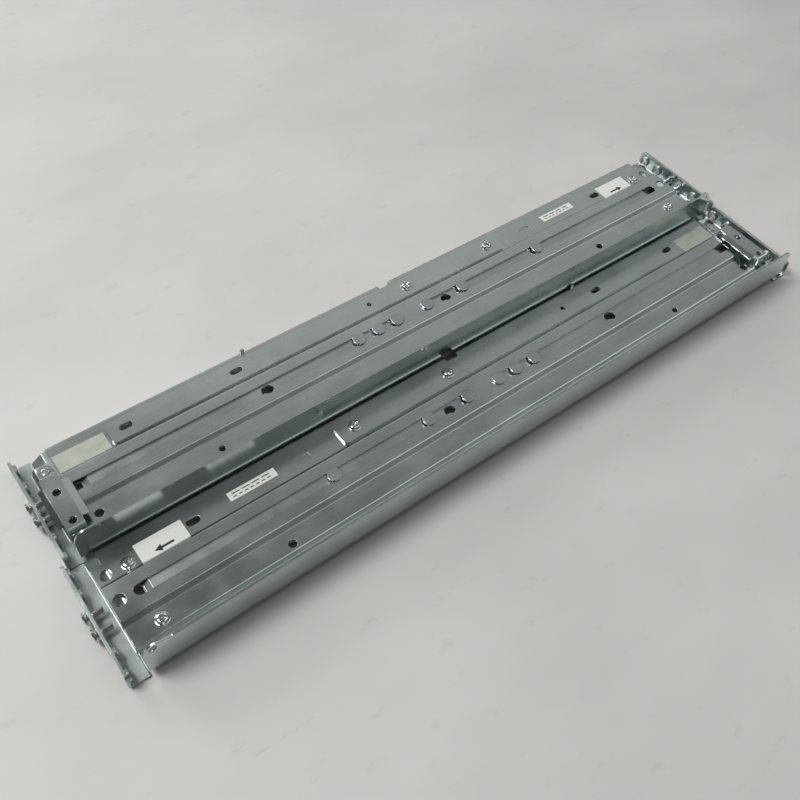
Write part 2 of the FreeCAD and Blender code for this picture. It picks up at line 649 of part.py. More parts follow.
def bar_openings(hand, through):
    """Slots and the small hole that go through the retaining bar and the web under it."""
    length, width = BAR_SLOT
    slots = [peg(width / 2, BAR_REAR - u, BAR_MIDDLE_V, through, length - width) for u in BAR_SLOTS]
    return slots + [peg(BAR_HOLE_RADIUS, BAR_FRONT + BAR_HOLES[hand], BAR_MIDDLE_V, through)]


def bar(hand):
    """Retaining bar on the label band."""
    level = (WEB_TOP, WEB_TOP + BAR_SHEET)
    through = (level[0] - 1, level[1] + 1)
    edges = (BAR_LOW_V, BAR_LOW_V + BAR_WIDTH)
    plate = rounded_plate((BAR_FRONT, BAR_REAR), edges, level, BAR_CORNER)
    cuts = [peg(SCREW_RADIUS + SCREW_FIT, u, v, through) for u, v in BAR_SCREW_PLACES]
    cuts += bar_openings(hand, through)
    return plate.cut(Part.makeCompound(cuts))


def film(u, v, length, width):
    """Thin label or tape on the label band."""
    return block((u, u + length), (v, v + width), (WEB_TOP, WEB_TOP + FILM))


def tape():
    """Clear glide tape at the rear end of the label band."""
    return film(TAPE_FRONT, BAND_HIGH_V + TAPE_OFFSET, TAPE_LENGTH, TAPE_WIDTH)


def latch_lug():
    """Low end of the latch that turns on the pin, and the step up from it to the plate."""
    middle = (LUG_LEVEL[0] + LUG_LEVEL[1]) / 2
    top = LATCH_TOP - LATCH_SHEET / 2
    path = [(JOGGLE_V - 2 * LATCH_SHEET, top), (JOGGLE_V, top), (JOGGLE_V, middle), (LUG_END_V, middle)]
    edges = (LATCH_PIVOT_U - LATCH_LEFT, LATCH_PIVOT_U + LUG_RIGHT)
    lug = cross_sheet(path, edges, LATCH_SHEET, LATCH_BEND)
    radius = (edges[1] - edges[0]) / 2
    past = (LUG_LEVEL[0] - 1, LATCH_TOP + 1)
    nose = peg(radius, edges[0] + radius, LUG_END_V - radius, past)
    return lug.common(nose.fuse(block(edges, (0, LUG_END_V - radius), past)))


def latch():
    """Spring latch lever on the rear bracket: lug, raised plate, two wings and an end wall."""
    middle = LATCH_TOP - LATCH_SHEET / 2
    left = LATCH_PIVOT_U - LATCH_LEFT
    right = LATCH_PIVOT_U + LATCH_RIGHT
    wall_v = LATCH_END_V + LATCH_SHEET / 2
    path = [(JOGGLE_V - LATCH_SHEET, middle), (wall_v, middle), (wall_v, END_WALL_FOOT)]
    plate = cross_sheet(path, (left, right), LATCH_SHEET, LATCH_BEND)
    points = [
        (left - WING_LEFT, middle - WING_LEFT_DROP),
        (left, middle),
        (right, middle),
        (right + WING_RIGHT, middle - WING_RIGHT_DROP),
    ]
    wings = long_sheet(points, WING_V, LATCH_SHEET, LATCH_BEND)
    body = plate.multiFuse([wings, latch_lug()])
    cuts = [peg(radius, LATCH_PIVOT_U + u, v, (0, LEDGE_TOP)) for u, v, radius in LATCH_HOLES]
    cuts.append(post(PIN_RADIUS + PIN_FIT, LATCH_PIVOT_U, LATCH_PIVOT_V, (0, LEDGE_TOP)))
    return body.cut(Part.makeCompound(cuts)).removeSplitter()


def riveted_tail(u, v):
    """Foot under the bracket and the tail that passes up through it."""
    foot_top = ARM_TOP - ARM_SHEET
    foot = peg(PIN_FOOT_RADIUS, u, v, (foot_top - PIN_FOOT, foot_top))
    return foot.fuse(peg(PIN_RADIUS, u, v, (foot_top, ARM_TOP)))


def latch_pin():
    """Rivet that the latch turns on, and the post inside its spring."""
    where = (LATCH_PIVOT_U, LATCH_PIVOT_V)
    seat = LUG_LEVEL[1] + SLIDING_GAP
    neck = post(PIN_RADIUS, *where, (ARM_TOP, seat))
    head = domed_head(PIN_HEAD_RADIUS, PIN_HEAD, *where, seat)
    pin = riveted_tail(*where).multiFuse([neck, head])
    post_u = LATCH_PIVOT_U + SPRING_POST[0]
    height = (ARM_TOP, ARM_TOP + SPRING_HEIGHT)
    spring_post = riveted_tail(post_u, SPRING_POST[1]).fuse(peg(PIN_RADIUS, post_u, SPRING_POST[1], height))
    return Part.makeCompound([pin, spring_post])


def latch_spring():
    """Close-wound torsion spring round its post, its coils drawn as one sleeve, with two legs."""
    level = (ARM_TOP + SLIDING_GAP, ARM_TOP + SLIDING_GAP + SPRING_HEIGHT)
    half = SPRING_WIRE / 2
    post_u = LATCH_PIVOT_U + SPRING_POST[0]
    post_v = SPRING_POST[1]
    sleeve = peg(SPRING_RADIUS + half, post_u, post_v, level)
    sleeve = sleeve.cut(peg(SPRING_RADIUS - half, post_u, post_v, level))
    legs = []
    for side, foot in ((-1, level[0]), (1, level[1] - SPRING_WIRE)):
        leg_u = post_u + side * SPRING_RADIUS
        leg_v = sorted((post_v, post_v + side * SPRING_LEG))
        legs.append(block((leg_u - half, leg_u + half), leg_v, (foot, foot + SPRING_WIRE)))
    return sleeve.multiFuse(legs)


def rail(hand):
    """All nodes of one rail in its own frame."""
    return {
        "web": web(hand),
        "front_arm": front_arm(),
        "rear_arm": rear_arm(),
        "front_studs": studs(FRONT_FACE, 1),
        "rear_studs": studs(REAR_FACE, -1),
        "front_rivets": rivets(FRONT_RIVETS, BAND_TOP, peg),
        "rear_rivets": rivets(REAR_RIVETS, BAND_TOP + RUNNING_GAP, post),
        "front_screws": front_screws(),
        "bar": bar(hand),
        "bar_screws": bar_screws(),
        "tape": tape(),
        "arrow_label": film(FRONT_FACE + ARROW_LABEL[0], *ARROW_LABEL[1:]),
        "small_label": film(FRONT_FACE + SMALL_LABEL[0], *SMALL_LABEL[1:]),
        "latch": latch(),
        "latch_pin": latch_pin(),
        "latch_spring": latch_spring(),
    }


def placed(shape, hand):
    """Shape moved from the rail's frame to the pair's, mirrored end for end for the right rail."""
    if hand == "left":
        moved = shape.copy()
        moved.translate(Vector(0, -(RAIL_WIDTH + PAIR_GAP) / 2, 0))
        return moved
    moved = shape.mirror(Vector(0, 0, 0), Vector(1, 0, 0))
    moved.translate(Vector(0, (RAIL_WIDTH + PAIR_GAP) / 2, 0))
    return moved


def main():
    """Write one file for each node of both rails."""
    os.makedirs("parts", exist_ok=True)
    for hand in ("left", "right"):
        for name, shape in rail(hand).items():
            placed(shape, hand).exportStep(f"parts/{hand}_{name}.step")


main()
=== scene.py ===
import json
import math

import bmesh
import bpy
from mathutils import Matrix, Vector


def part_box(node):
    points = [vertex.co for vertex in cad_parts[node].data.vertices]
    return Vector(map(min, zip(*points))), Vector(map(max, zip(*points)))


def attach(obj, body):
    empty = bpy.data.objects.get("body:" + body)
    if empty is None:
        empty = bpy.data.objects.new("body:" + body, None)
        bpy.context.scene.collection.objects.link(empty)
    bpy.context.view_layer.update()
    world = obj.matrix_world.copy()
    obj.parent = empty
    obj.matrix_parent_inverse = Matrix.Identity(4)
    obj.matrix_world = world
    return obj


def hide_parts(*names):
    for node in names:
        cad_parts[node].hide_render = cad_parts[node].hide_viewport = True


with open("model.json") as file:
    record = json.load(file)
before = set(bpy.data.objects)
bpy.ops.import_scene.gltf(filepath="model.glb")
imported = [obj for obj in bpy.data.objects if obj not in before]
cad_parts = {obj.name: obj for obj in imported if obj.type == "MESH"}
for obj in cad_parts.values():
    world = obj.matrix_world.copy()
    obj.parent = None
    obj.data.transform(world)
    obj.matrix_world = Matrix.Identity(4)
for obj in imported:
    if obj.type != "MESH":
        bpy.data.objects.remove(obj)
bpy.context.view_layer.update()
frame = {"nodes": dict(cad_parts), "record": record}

# The visual model of a pair of sliding server rails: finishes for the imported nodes, round
# screws, rivets, studs and springs in place of their many-sided ones, collars round the rack
# holes, prints on the labels, the table, lights and camera. Lengths are in metres, in the
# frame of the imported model.

MM = 0.001
HANDS = ("left", "right")
UP = Vector((0, 0, 1))
TURNS = 48                            # sides of a turned piece
PACKED_SIDES = 12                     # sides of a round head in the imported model
FLATS = math.cos(math.pi / PACKED_SIDES)    # half width of such a head over its radius
CREASE = math.radians(32)             # edges that turn by more than this stay sharp

# Camera: its place, the ways it looks and holds its top, and its lens
CAMERA_PLACE = (-0.3214, -0.2909, 0.5195)
CAMERA_LOOK = (0.4129, 0.4346, -0.8004)
CAMERA_UP = (0.4477, 0.6684, 0.5940)
CAMERA_LENS = 39.24                   # focal length in millimetres
CAMERA_SENSOR = 36.0                  # width in millimetres

# Fasteners and the rims of the rack holes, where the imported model's boxes don't give the size
SCREW_HEAD = 2.4 * MM                 # height of the head
SCREW_FLANGE = 0.8 * MM               # height of the flange at the foot of the head
SCREW_SHANK = 2.0 * MM                # radius
SCREW_DOME = 0.84                     # radius of the dome over that of the flange
DOME_STEPS = 22
DOME_POWER = 5                        # the higher it is, the flatter the dome's top
SCREW_TURNS = {"front": (0.5, 1.2), "bar": (0.2, 0.9)}      # radians that each recess is turned
CROSS_REACH = 2.6 * MM                # from a screw's middle to the ends of its cross
CROSS_HALF = 0.7 * MM                 # half the width of an arm of the cross
CROSS_DEPTH = 1.5 * MM
CROSS_END_SLOPE = 1.1                 # depth gained over the distance from an arm's end
CROSS_SIDE_SLOPE = 4.0                # depth gained over the distance from an arm's side
RIVET_HEAD = 1.4 * MM                 # height of the head
RIVET_SHOULDER = 2.7 * MM             # radius
STUD_HEAD = 3.5 * MM                  # height of the head
STUD_TAIL = 2.1 * MM                  # radius
PIN_STEM = 2.1 * MM                   # radius of the latch rivet's neck and of the spring's post
PIN_HEAD = 3.0 * MM                   # radius of the latch rivet's head
SPRING_GAUGE = 0.45 * MM              # radius of the wire
SPRING_COILS = 5
SPRING_STEPS = 28                     # points in one coil
SPRING_LEG_END = 0.2 * MM             # from a leg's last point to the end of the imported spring
WIRE_SIDES = 10
BRACKET_SHEET = 2.0 * MM
COLLAR_WIDTH = 1.1 * MM               # of the raised rim of a rack hole
COLLAR_HEIGHT = 2.2 * MM

# Prints on the labels, and the table
PRINT = 0.02 * MM                     # thickness of a print
DASH_ROWS = ((7, 0.62), (4, 0.8))     # dashes in each row, and the share of the pitch they fill
FIRST_ROW = 0.32                      # place of the first row across the small label
ROW_STEP = 0.36
DASH_MARGIN = 3 * MM                  # from the ends of the small label
DASH_HALF = 0.4 * MM                  # half the width of a dash
TABLE_HALF = 3.0                      # half a side of the table


# ---------------------------------------------------------------- camera and light

def add_camera():
    """Camera above the left rail's front end and on its near side, turned a little about its
    own axis."""
    look = Vector(CAMERA_LOOK).normalized()
    right = look.cross(Vector(CAMERA_UP)).normalized()
    up = right.cross(look)
    camera = bpy.data.cameras.new("camera")
    camera.sensor_width = CAMERA_SENSOR
    camera.lens = CAMERA_LENS
    camera.clip_start = 0.01
    item = bpy.data.objects.new("camera", camera)
    turn = Matrix((right, up, -look)).transposed().to_4x4()
    item.matrix_world = Matrix.Translation(CAMERA_PLACE) @ turn
    bpy.context.collection.objects.link(item)
    bpy.context.scene.camera = item


def add_area_light(name, place, size, power, colour):
    """Soft rectangular light that faces the rails."""
    light = bpy.data.lights.new(name, "AREA")
    light.shape = "RECTANGLE"
    light.size, light.size_y = size
    light.energy = power
    light.color = colour
    item = bpy.data.objects.new(name, light)
    item.location = place
    item.rotation_euler = (-Vector(place)).to_track_quat("-Z", "Y").to_euler()
    bpy.context.collection.objects.link(item)


def sky_glow(tree, direction, reach, glow):
    """Brightness that goes from glow's first value to its second as a ray nears a direction."""
    where = tree.nodes.new("ShaderNodeTexCoord")
    lean = tree.nodes.new("ShaderNodeVectorMath")
    lean.operation = "DOT_PRODUCT"
    lean.inputs[1].default_value = direction
    tree.links.new(where.outputs["Generated"], lean.inputs[0])
    spread = tree.nodes.new("ShaderNodeMapRange")
    limits = (*reach, *glow)
    for name, value in zip(("From Min", "From Max", "To Min", "To Max"), limits):
        spread.inputs[name].default_value = value
    tree.links.new(lean.outputs["Value"], spread.inputs["Value"])
    return spread.outputs["Result"]


def add_room():
    """Dim room: a far side that brightens upwards, and a faint patch of ceiling at the right."""
    world = bpy.data.worlds.new("room")
    world.use_nodes = True
    tree = world.node_tree
    background = tree.nodes["Background"]
    background.inputs["Color"].default_value = (1.0, 1.0, 0.97, 1.0)
    far_side = sky_glow(tree, (0.5, 1.2, 0.0), (0.48, 1.18), (0.0, 0.7))
    height = sky_glow(tree, (0.0, 0.0, 1.0), (0.15, 0.6), (0.14, 1.0))
    ceiling = sky_glow(tree, (0.59, -0.35, 0.73), (0.8, 0.97), (0.1, 0.27))
    total = tree.nodes.new("ShaderNodeMath")
    total.operation = "MULTIPLY_ADD"
    for socket, factor in zip(total.inputs, (far_side, height, ceiling)):
        tree.links.new(factor, socket)
    tree.links.new(total.outputs["Value"], background.inputs["Strength"])
    bpy.context.scene.world = world


def add_lights():
    """Skylight beyond the rails' left end, a weak window on their far side, and a long lamp
    beyond their right end."""
    add_room()
    add_area_light("skylight", (-1.25, 0.62, 2.1), (1.0, 1.0), 36.0, (1.0, 0.99, 0.97))
    add_area_light("window", (-0.86, 2.1, 1.25), (0.8, 0.8), 11.0, (1.0, 1.0, 0.99))
    add_area_light("lamp", (1.1, -0.15, 2.1), (0.8, 2.6), 7.0, (1.0, 1.0, 0.98))
    bpy.context.scene.view_settings.view_transform = "Standard"


# ---------------------------------------------------------------- materials

class Nodes:
    """Small helper that adds and joins the nodes of one material."""

    def __init__(self, name):
        self.material = bpy.data.materials.new(name)
        self.material.use_nodes = True
        self.tree = self.material.node_tree
        self.shader = self.tree.nodes["Principled BSDF"]

    def add(self, kind, **values):
        """New node: lower-case names set its properties, and capitalised ones its inputs."""
        node = self.tree.nodes.new(kind)
        for key, value in values.items():
            if key[0].islower():
                setattr(node, key, value)
            else:
                node.inputs[key.replace("_", " ")].default_value = value
        return node

    def join(self, start, end):
        """Link from one socket to another."""
        self.tree.links.new(start, end)

    def tint(self, colour):
        """Colour of the shader from a socket."""
        self.join(colour, self.shader.inputs["Base Color"])

    def polish(self, roughness):
        """Roughness of the shader from a socket."""
        self.join(roughness, self.shader.inputs["Roughness"])

    def metal(self):
        """Bare metal."""
        self.shader.inputs["Metallic"].default_value = 1.0

    def noise(self, scale, stretch=(1, 1, 1), detail=3.0, roughness=0.55):
        """Noise over the object's own coordinates, stretched along some axes."""
        where = self.add("ShaderNodeTexCoord")
        place = self.add("ShaderNodeMapping", Scale=stretch)
        self.join(where.outputs["Object"], place.inputs["Vector"])
        noise = self.add("ShaderNodeTexNoise", Scale=scale, Detail=detail, Roughness=roughness)
        self.join(place.outputs["Vector"], noise.inputs["Vector"])
        return noise.outputs["Fac"]

    def ramp(self, factor, stops):
        """Colours along a factor."""
        ramp = self.add("ShaderNodeValToRGB")
        elements = ramp.color_ramp.elements
        while len(elements) < len(stops):
            elements.new(0.5)
        for element, (position, colour) in zip(elements, stops):
            element.position = position
            element.color = (*colour, 1.0)
        self.join(factor, ramp.inputs["Fac"])
        return ramp.outputs["Color"]

    def spread(self, factor, low, high, start=0.3, end=0.7):
        """Factor mapped from one range to another."""
        limits = {"From_Min": start, "From_Max": end, "To_Min": low, "To_Max": high}
        spread = self.add("ShaderNodeMapRange", **limits)
        self.join(factor, spread.inputs["Value"])
        return spread.outputs["Result"]

    def mix(self, factor, first, second):
        """Two colours mixed by a factor or a fixed amount."""
        mix = self.add("ShaderNodeMix", data_type="RGBA")
        # The node has sockets for numbers and vectors too: these are those of its colours
        for value, index in ((factor, 0), (first, 6), (second, 7)):
            socket = mix.inputs[index]
            if isinstance(value, (int, float)):
                socket.default_value = value
            elif isinstance(value, tuple):
                socket.default_value = (*value, 1.0)
            else:
                self.join(value, socket)
        return mix.outputs[2]

    def relief(self, height, strength, distance, edge=0.0):
        """Fine relief, over edges that are slightly rounded where a radius is given."""
        bump = self.add("ShaderNodeBump", Strength=strength, Distance=distance)
        self.join(height, bump.inputs["Height"])
        if edge:
            bevel = self.add("ShaderNodeBevel", samples=4, Radius=edge)
            self.join(bevel.outputs["Normal"], bump.inputs["Normal"])
        self.join(bump.outputs["Normal"], self.shader.inputs["Normal"])


def scaled(colour, factor):
    """Colour made lighter or darker."""
    return tuple(min(1.0, factor * value) for value in colour)


def zinc_steel(name, dark, light, roughness, edge):
    """Zinc-plated sheet: rolling lines along the rail, cloudy plating, small marks and edges
    that catch the light as if rounded by a radius."""
    nodes = Nodes(name)
    clouds = nodes.noise(30.0, (1, 1.6, 1), 4.0)
    lines = nodes.noise(55.0, (0.3, 24, 24), 3.0)
    specks = nodes.noise(700.0, (0.6, 1, 1), 1.0)
    scratches = nodes.noise(900.0, (1, 0.15, 1), 1.0, 0.7)
    tone = nodes.ramp(clouds, ((0.32, dark), (0.7, light)))
    tone = nodes.mix(0.3, tone, nodes.ramp(lines, ((0.3, dark), (0.7, light))))
    tone = nodes.mix(nodes.spread(specks, 0.0, 0.35, 0.68, 0.76), tone, scaled(dark, 0.72))
    tone = nodes.mix(nodes.spread(scratches, 0.0, 0.45, 0.71, 0.79), tone, scaled(light, 1.35))
    nodes.tint(tone)
    nodes.polish(nodes.spread(clouds, roughness - 0.05, roughness + 0.07))
    nodes.metal()
    nodes.relief(lines, 0.06, 0.1 * MM, edge)
    return nodes.material


def turned_metal(name, dark, light, polish):
    """Turned or drawn metal: plated screws, studs and latch pins, and spring wire."""
    nodes = Nodes(name)
    clouds = nodes.noise(260.0)
    nodes.tint(nodes.ramp(clouds, ((0.3, dark), (0.7, light))))
    nodes.polish(nodes.spread(clouds, *polish))
    nodes.metal()
    nodes.relief(nodes.noise(900.0), 0.08, 0.1 * MM)
    return nodes.material


def glide_tape():
    """Milky tape, drawn opaque and a little uneven where it is stuck down."""
    nodes = Nodes("glide_tape")
    clouds = nodes.noise(90.0, (1, 2, 1), 4.0)
    nodes.tint(nodes.ramp(clouds, ((0.3, (0.43, 0.45, 0.40)), (0.75, (0.53, 0.55, 0.49)))))
    nodes.polish(nodes.spread(clouds, 0.3, 0.5))
    nodes.relief(clouds, 0.15, 0.2 * MM)
    return nodes.material


def label_paper():
    """Smooth white label stock."""
    nodes = Nodes("label_paper")
    fibres = nodes.noise(900.0)
    nodes.tint(nodes.ramp(fibres, ((0.3, (0.84, 0.855, 0.83)), (0.7, (0.90, 0.915, 0.89)))))
    nodes.polish(nodes.spread(fibres, 0.4, 0.55))
    nodes.relief(fibres, 0.05, 0.1 * MM)
    return nodes.material


def label_ink():
    """Black print."""
    nodes = Nodes("label_ink")
    fibres = nodes.noise(1500.0)
    nodes.tint(nodes.ramp(fibres, ((0.3, (0.012, 0.012, 0.013)), (0.7, (0.03, 0.03, 0.032)))))
    nodes.polish(nodes.spread(fibres, 0.4, 0.6))
    return nodes.material


def table_top():
    """Pale board with faint clouds, small scuffs and a soft sheen."""
    nodes = Nodes("table_top")
    clouds = nodes.noise(4.0, (1, 1.6, 1), 4.0)
    scuffs = nodes.noise(38.0, (1, 2.2, 1), 3.0, 0.6)
    tone = nodes.ramp(clouds, ((0.3, (0.635, 0.63, 0.625)), (0.72, (0.745, 0.74, 0.735))))
    tone = nodes.mix(nodes.spread(scuffs, 0.0, 0.3, 0.62, 0.74), tone, (0.5, 0.49, 0.475))
    nodes.tint(tone)
    nodes.polish(nodes.spread(clouds, 0.5, 0.65))
    nodes.relief(nodes.noise(300.0), 0.05, 0.4 * MM)
    return nodes.material


# ---------------------------------------------------------------- mesh tools

def add_piece(name, parts, material, body, replaced=None):
    """One smooth piece made of several lists of points and faces, which rides on a body."""
    vertices = []
    faces = []
    for part_vertices, part_faces in parts:
        start = len(vertices)
        vertices += part_vertices
        faces += [tuple(start + index for index in face) for face in part_faces]
    mesh = bpy.data.meshes.new(name)
    mesh.from_pydata(vertices, [], faces)
    mesh.materials.append(material)
    work = bmesh.new()
    work.from_mesh(mesh)
    bmesh.ops.recalc_face_normals(work, faces=work.faces)
    work.to_mesh(mesh)
    work.free()
    mesh.shade_smooth()
    mesh.set_sharp_from_angle(angle=CREASE)
    piece = bpy.data.objects.new(name, mesh)
    bpy.context.collection.objects.link(piece)
    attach(piece, body)
    if replaced:
        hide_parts(replaced)


def skin(rings, loop=False):
    """Surface through rings of points: capped at both ends, or joined end to end."""
    turns = len(rings[0])
    vertices = [point for ring in rings for point in ring]
    count = len(vertices)
    faces = []
    for start in range(0, count if loop else count - turns, turns):
        for index in range(turns):
            after = (index + 1) % turns
            above = (start + turns) % count
            faces.append((start + index, start + after, above + after, above + index))
    if not loop:
        faces.append(tuple(reversed(range(turns))))
        faces.append(tuple(range(count - turns, count)))
    return vertices, faces


def ring(centre, radius, height, axis=UP):
    """Circle of points about an axis along Z or X, at a height along it."""
    points = []
    for index in range(TURNS):
        angle = 2 * math.pi * index / TURNS
        flat = Vector((radius * math.cos(angle), radius * math.sin(angle), height))
        if axis.x:
            flat = Vector((flat.z * axis.x, flat.x, flat.y))
        points.append(Vector(centre) + flat)
    return points


def turned(centre, profile, axis=UP, loop=False):
    """Body of revolution with its radius and height given along a profile."""
    return skin([ring(centre, radius, height, axis) for radius, height in profile], loop)


def islands(node):
    """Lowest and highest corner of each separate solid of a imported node, along X and then Y."""
    work = bmesh.new()
    work.from_mesh(frame["nodes"][node].data)
    bmesh.ops.remove_doubles(work, verts=work.verts[:], dist=0.001 * MM)
    unseen = set(work.verts)
    boxes = []
    while unseen:
        stack = [unseen.pop()]
        points = []
        while stack:
            vertex = stack.pop()
            points.append(vertex.co.copy())
            for edge in vertex.link_edges:
                other = edge.other_vert(vertex)
                if other in unseen:
                    unseen.remove(other)
                    stack.append(other)
        low = Vector([min(point[axis] for point in points) for axis in range(3)])
        high = Vector([max(point[axis] for point in points) for axis in range(3)])
        boxes.append((low, high))
    work.free()
    return sorted(boxes, key=lambda box: (round(box[0].x, 4), box[0].y))


# ---------------------------------------------------------------- fasteners

def upright(box):
    """Middle of a box in plan, from which heights are the model's own."""
    low, high = box
    return (low.x + high.x) / 2, (low.y + high.y) / 2, 0


def recess(x, y):
    """Depth of a cross recess at a place on a screw's head."""
    depth = 0.0
    for along, beside in ((x, y), (y, x)):
        from_end = CROSS_REACH - abs(along)
        from_side = CROSS_HALF - abs(beside)
        depth = max(depth, min(CROSS_END_SLOPE * from_end, CROSS_SIDE_SLOPE * from_side))
    return min(depth, CROSS_DEPTH)


def pan_screw(box, turn):
    """Screw with a flanged pan head and a cross recess."""
    low, high = box
    centre = upright(box)
    radius = (high.x - low.x) / 2 / FLATS
    dome = SCREW_DOME * radius
    seat = high.z - SCREW_HEAD
    rim = seat + SCREW_FLANGE
    outside = [(SCREW_SHANK, low.z), (SCREW_SHANK, seat), (radius - 0.1 * MM, seat)]
    outside += [(radius, seat + 0.2 * MM), (radius, rim - 0.3 * MM)]
    outside += [(radius - 0.1 * MM, rim - 0.1 * MM), (radius - 0.3 * MM, rim)]
    rings = [ring(centre, reach, height) for reach, height in outside]
    for index in range(DOME_STEPS):
        reach = dome * (1 - index / DOME_STEPS)
        top = rim + (high.z - rim) * math.sqrt(1 - (reach / dome) ** DOME_POWER)
        points = ring((0, 0, 0), reach, top)
        for point in points:
            x = point.x * math.cos(turn) + point.y * math.sin(turn)
            y = point.y * math.cos(turn) - point.x * math.sin(turn)
            point.z -= recess(x, y)
        rings.append([point + Vector(centre) for point in points])
    return skin(rings)


def slot_rivet(box):
    """Flat rivet with a rounded rim and the shoulder under it."""
    low, high = box
    radius = (high.x - low.x) / 2 / FLATS
    seat = high.z - RIVET_HEAD
    profile = [(RIVET_SHOULDER, low.z), (RIVET_SHOULDER, seat), (radius - 0.2 * MM, seat)]
    profile += [(radius, seat + 0.2 * MM), (radius, high.z - 0.5 * MM)]
    profile += [(radius - 0.12 * MM, high.z - 0.2 * MM), (radius - 0.4 * MM, high.z)]
    profile += [(radius - 0.6 * MM, high.z), (radius - 1.5 * MM, high.z)]
    return turned(upright(box), profile)


def locating_stud(box):
    """Stud through a rack face: grooved head outside, collar and thin tail inside."""
    low, high = box
    outward = Vector((math.copysign(1, low.x), 0, 0))
    face = max(abs(low.x), abs(high.x)) - STUD_HEAD
    tip = min(abs(low.x), abs(high.x)) - face
    centre = (face * outward.x, (low.y + high.y) / 2, (low.z + high.z) / 2)
    radius = (high.z - low.z) / 2
    inside = -BRACKET_SHEET
    profile = [(STUD_TAIL - 0.4 * MM, tip), (STUD_TAIL, tip + 0.4 * MM)]
    profile += [(STUD_TAIL, inside - 0.9 * MM), (STUD_TAIL + 0.7 * MM, inside - 0.7 * MM)]
    profile += [(STUD_TAIL + 0.9 * MM, inside)]
    profile += [(STUD_TAIL, inside + 0.1 * MM), (STUD_TAIL, 0), (0.86 * radius, 0)]
    profile += [(0.86 * radius, 0.9 * MM), (0.68 * radius, 1.1 * MM), (0.68 * radius, 1.7 * MM)]
    profile += [(radius, 1.9 * MM), (radius, STUD_HEAD - 0.4 * MM), (radius - 0.4 * MM, STUD_HEAD)]
    profile += [(0.55 * radius, STUD_HEAD), (0.45 * radius, STUD_HEAD - 0.8 * MM)]
    return turned(centre, profile, outward)


def pin_foot(box):
    """Profile of the foot under the bracket, up to the stem that rises from it."""
    low, high = box
    foot = (high.x - low.x) / 2
    profile = [(foot - 0.3 * MM, low.z), (foot, low.z + 0.3 * MM), (foot, low.z + 0.9 * MM)]
    return profile + [(PIN_STEM, low.z + 1.1 * MM)]


def latch_rivet(box):
    """Hollow rivet head that the latch turns on, with its neck and its foot under the bracket."""
    top = box[1].z
    profile = pin_foot(box)
    profile += [(PIN_STEM, top - 1.4 * MM), (PIN_HEAD, top - 1.3 * MM)]
    profile += [(PIN_HEAD, top - 0.5 * MM), (PIN_HEAD - 0.3 * MM, top - 0.1 * MM)]
    profile += [(PIN_HEAD - 0.7 * MM, top), (PIN_HEAD - 1.2 * MM, top - 0.1 * MM)]
    profile += [(PIN_HEAD - 1.5 * MM, top - 0.7 * MM)]
    return turned(upright(box), profile)


def spring_post(box):
    """Post that the latch spring is wound round."""
    top = box[1].z
    profile = pin_foot(box)
    profile += [(PIN_STEM, top - 0.4 * MM), (PIN_STEM - 0.4 * MM, top)]
    return turned(upright(box), profile)


def wire(path, radius):
    """Round wire along a path of points."""
    rings = []
    for index, point in enumerate(path):
        before = path[max(index - 1, 0)]
        after = path[min(index + 1, len(path) - 1)]
        along = (after - before).normalized()
        beside = along.cross(UP).normalized()
        over = beside.cross(along)
        circle = []
        for side in range(WIRE_SIDES):
            angle = 2 * math.pi * side / WIRE_SIDES
            circle.append(point + radius * (math.cos(angle) * beside + math.sin(angle) * over))
        rings.append(circle)
    return skin(rings)


def latch_spring(node):
    """Torsion spring: a leg, its coils round the post and a second leg."""
    low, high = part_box(node)
    middle = (low + high) / 2
    radius = (high.x - low.x) / 2 - SPRING_GAUGE
    foot = low.z + SPRING_GAUGE
    rise = high.z - low.z - 2 * SPRING_GAUGE
    steps = SPRING_COILS * SPRING_STEPS
    side = math.copysign(1, middle.x)
    legs_x = middle.x - side * radius
    path = [Vector((legs_x, low.y + SPRING_LEG_END, foot))]
    for index in range(steps + 1):
        angle = 2 * math.pi * index / SPRING_STEPS
        shift = Vector((-side * radius * math.cos(angle), radius * math.sin(angle), 0))
        level = foot + rise * index / steps
        path.append(Vector((middle.x, middle.y, level)) + shift)
    path.append(Vector((legs_x, high.y - SPRING_LEG_END, high.z - SPRING_GAUGE)))
    return wire(path, SPRING_GAUGE)


def add_fasteners(dull, bright, dark):
    """Round screws, rivets, studs, pins and springs for both rails."""
    for hand in HANDS:
        slide = f"{hand}_rear_slide"
        for group, turns in SCREW_TURNS.items():
            node = f"{hand}_{group}_screws"
            screws = [pan_screw(box, turn) for box, turn in zip(islands(node), turns)]
            add_piece(f"{node}_round", screws, bright, "rail_frames", node)
        for end, body in (("front", "rail_frames"), ("rear", slide)):
            node = f"{hand}_{end}_rivets"
            add_piece(f"{node}_round", [slot_rivet(box) for box in islands(node)], dull, body,
                      node)
            node = f"{hand}_{end}_studs"
            add_piece(f"{node}_round", [locating_stud(box) for box in islands(node)], bright, body,
                      node)
        node = f"{hand}_latch_pin"
        post, pivot = sorted(islands(node), key=lambda box: -box[1].z)
        add_piece(f"{node}_round", [spring_post(post), latch_rivet(pivot)], bright, slide,
                  node)
        node = f"{hand}_latch_spring"
        add_piece(f"{node}_coil", [latch_spring(node)], dark, slide, node)


